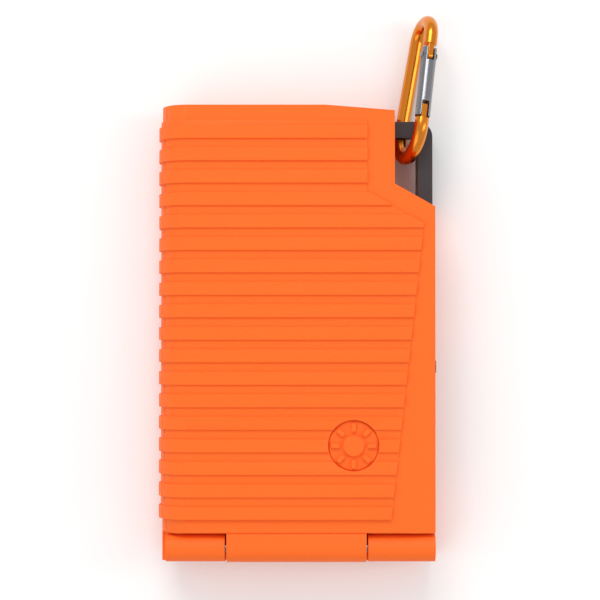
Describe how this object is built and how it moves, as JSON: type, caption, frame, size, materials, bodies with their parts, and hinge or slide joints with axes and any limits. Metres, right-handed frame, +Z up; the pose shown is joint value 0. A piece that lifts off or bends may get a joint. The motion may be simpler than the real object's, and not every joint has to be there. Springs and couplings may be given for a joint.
{
  "type": "folding solar power bank",
  "caption": "Folding solar power bank: ribbed soft-touch case on a barrel hinge, solar panels inside, and a carabiner on a corner lug.",
  "frame": {"origin": "on the plane the closed case rests on, at the middle of the case's width and length", "axes": "+X to the side with the ports, +Y along the case towards the carabiner, +Z up through the lid"},
  "size_m": [0.0929, 0.1818, 0.0254],
  "materials": {
    "orange_rubber": "fine matt soft-touch moulding",
    "black_plastic": "fine satin moulding",
    "solar_glass": "clear cover",
    "solar_cell": "dark blue cells with silver fingers",
    "board_green": "solder mask",
    "battery_foil": "foil pouch",
    "foam": "closed-cell foam",
    "steel": "bright steel",
    "magnet_nickel": "nickel plate",
    "anodised_gold": "orange-gold anodised",
    "gate_silver": "clear anodised",
    "chip_black": "epoxy",
    "light_clear": "frosted clear",
    "bush_nylon": "nylon",
    "seal_rubber": "silicone"
  },
  "bodies": {
    "base": {"base_shell": "orange_rubber", "base_frame": "black_plastic", "case_seal": "seal_rubber", "base_solar_glass": "solar_glass", "base_solar_board": "board_green", "base_solar_cells": "solar_cell", "base_screws": "steel", "base_magnets": "magnet_nickel", "hinge_pin_left": "steel", "hinge_pin_right": "steel", "battery_cell_lower": "battery_foil", "battery_cell_upper": "battery_foil", "battery_foam": "foam", "circuit_board": "board_green", "usb_a_socket_near": "steel", "usb_a_socket_far": "steel", "micro_usb_socket": "steel", "board_chips": "chip_black", "power_inductor": "chip_black", "tact_switch": "steel", "status_lights": "light_clear", "light_chips": "light_clear"},
    "lid": {"lid_shell": "orange_rubber", "lid_frame": "black_plastic", "lid_solar_glass": "solar_glass", "lid_solar_board": "board_green", "lid_solar_cells": "solar_cell", "lid_screws": "steel", "lid_magnets": "magnet_nickel", "hinge_bushes": "bush_nylon", "emblem": "orange_rubber"},
    "power_button": {"power_button": "black_plastic"},
    "port_cover": {"port_cover": "black_plastic"},
    "carabiner": {"carabiner_body": "anodised_gold"},
    "gate": {"carabiner_gate": "gate_silver", "gate_pivot_pin": "steel", "gate_latch_pin": "steel", "gate_spring": "steel"}
  },
  "joints": [
    {"name": "lid_hinge", "type": "hinge", "parent": "base", "child": "lid", "pos_m": [0, -0.07035, 0.01955], "axis": [1, 0, 0], "range_deg": [0, 180]},
    {"name": "carabiner_swing", "type": "hinge", "parent": "base", "child": "carabiner", "pos_m": [0.0378, 0.068, 0.012], "axis": [0.9443, -0.1665, -0.284], "range_deg": [0, 90]},
    {"name": "gate_hinge", "type": "hinge", "parent": "carabiner", "child": "gate", "pos_m": [0.04346, 0.09221, 0.01663], "axis": [0.9443, -0.1665, -0.284], "range_deg": [0, 25], "stiffness_Nm_per_rad": 0.02, "springref_deg": -17.19},
    {"name": "power_button_press", "type": "slide", "parent": "base", "child": "power_button", "axis": [-1, 0, 0], "range_m": [0, 0.0006], "stiffness_N_per_m": 1200, "springref_m": -0.0005},
    {"name": "port_cover_hinge", "type": "hinge", "parent": "base", "child": "port_cover", "pos_m": [0.045, 0, 0.0079], "axis": [0, 1, 0], "range_deg": [0, 110]}
  ]
}
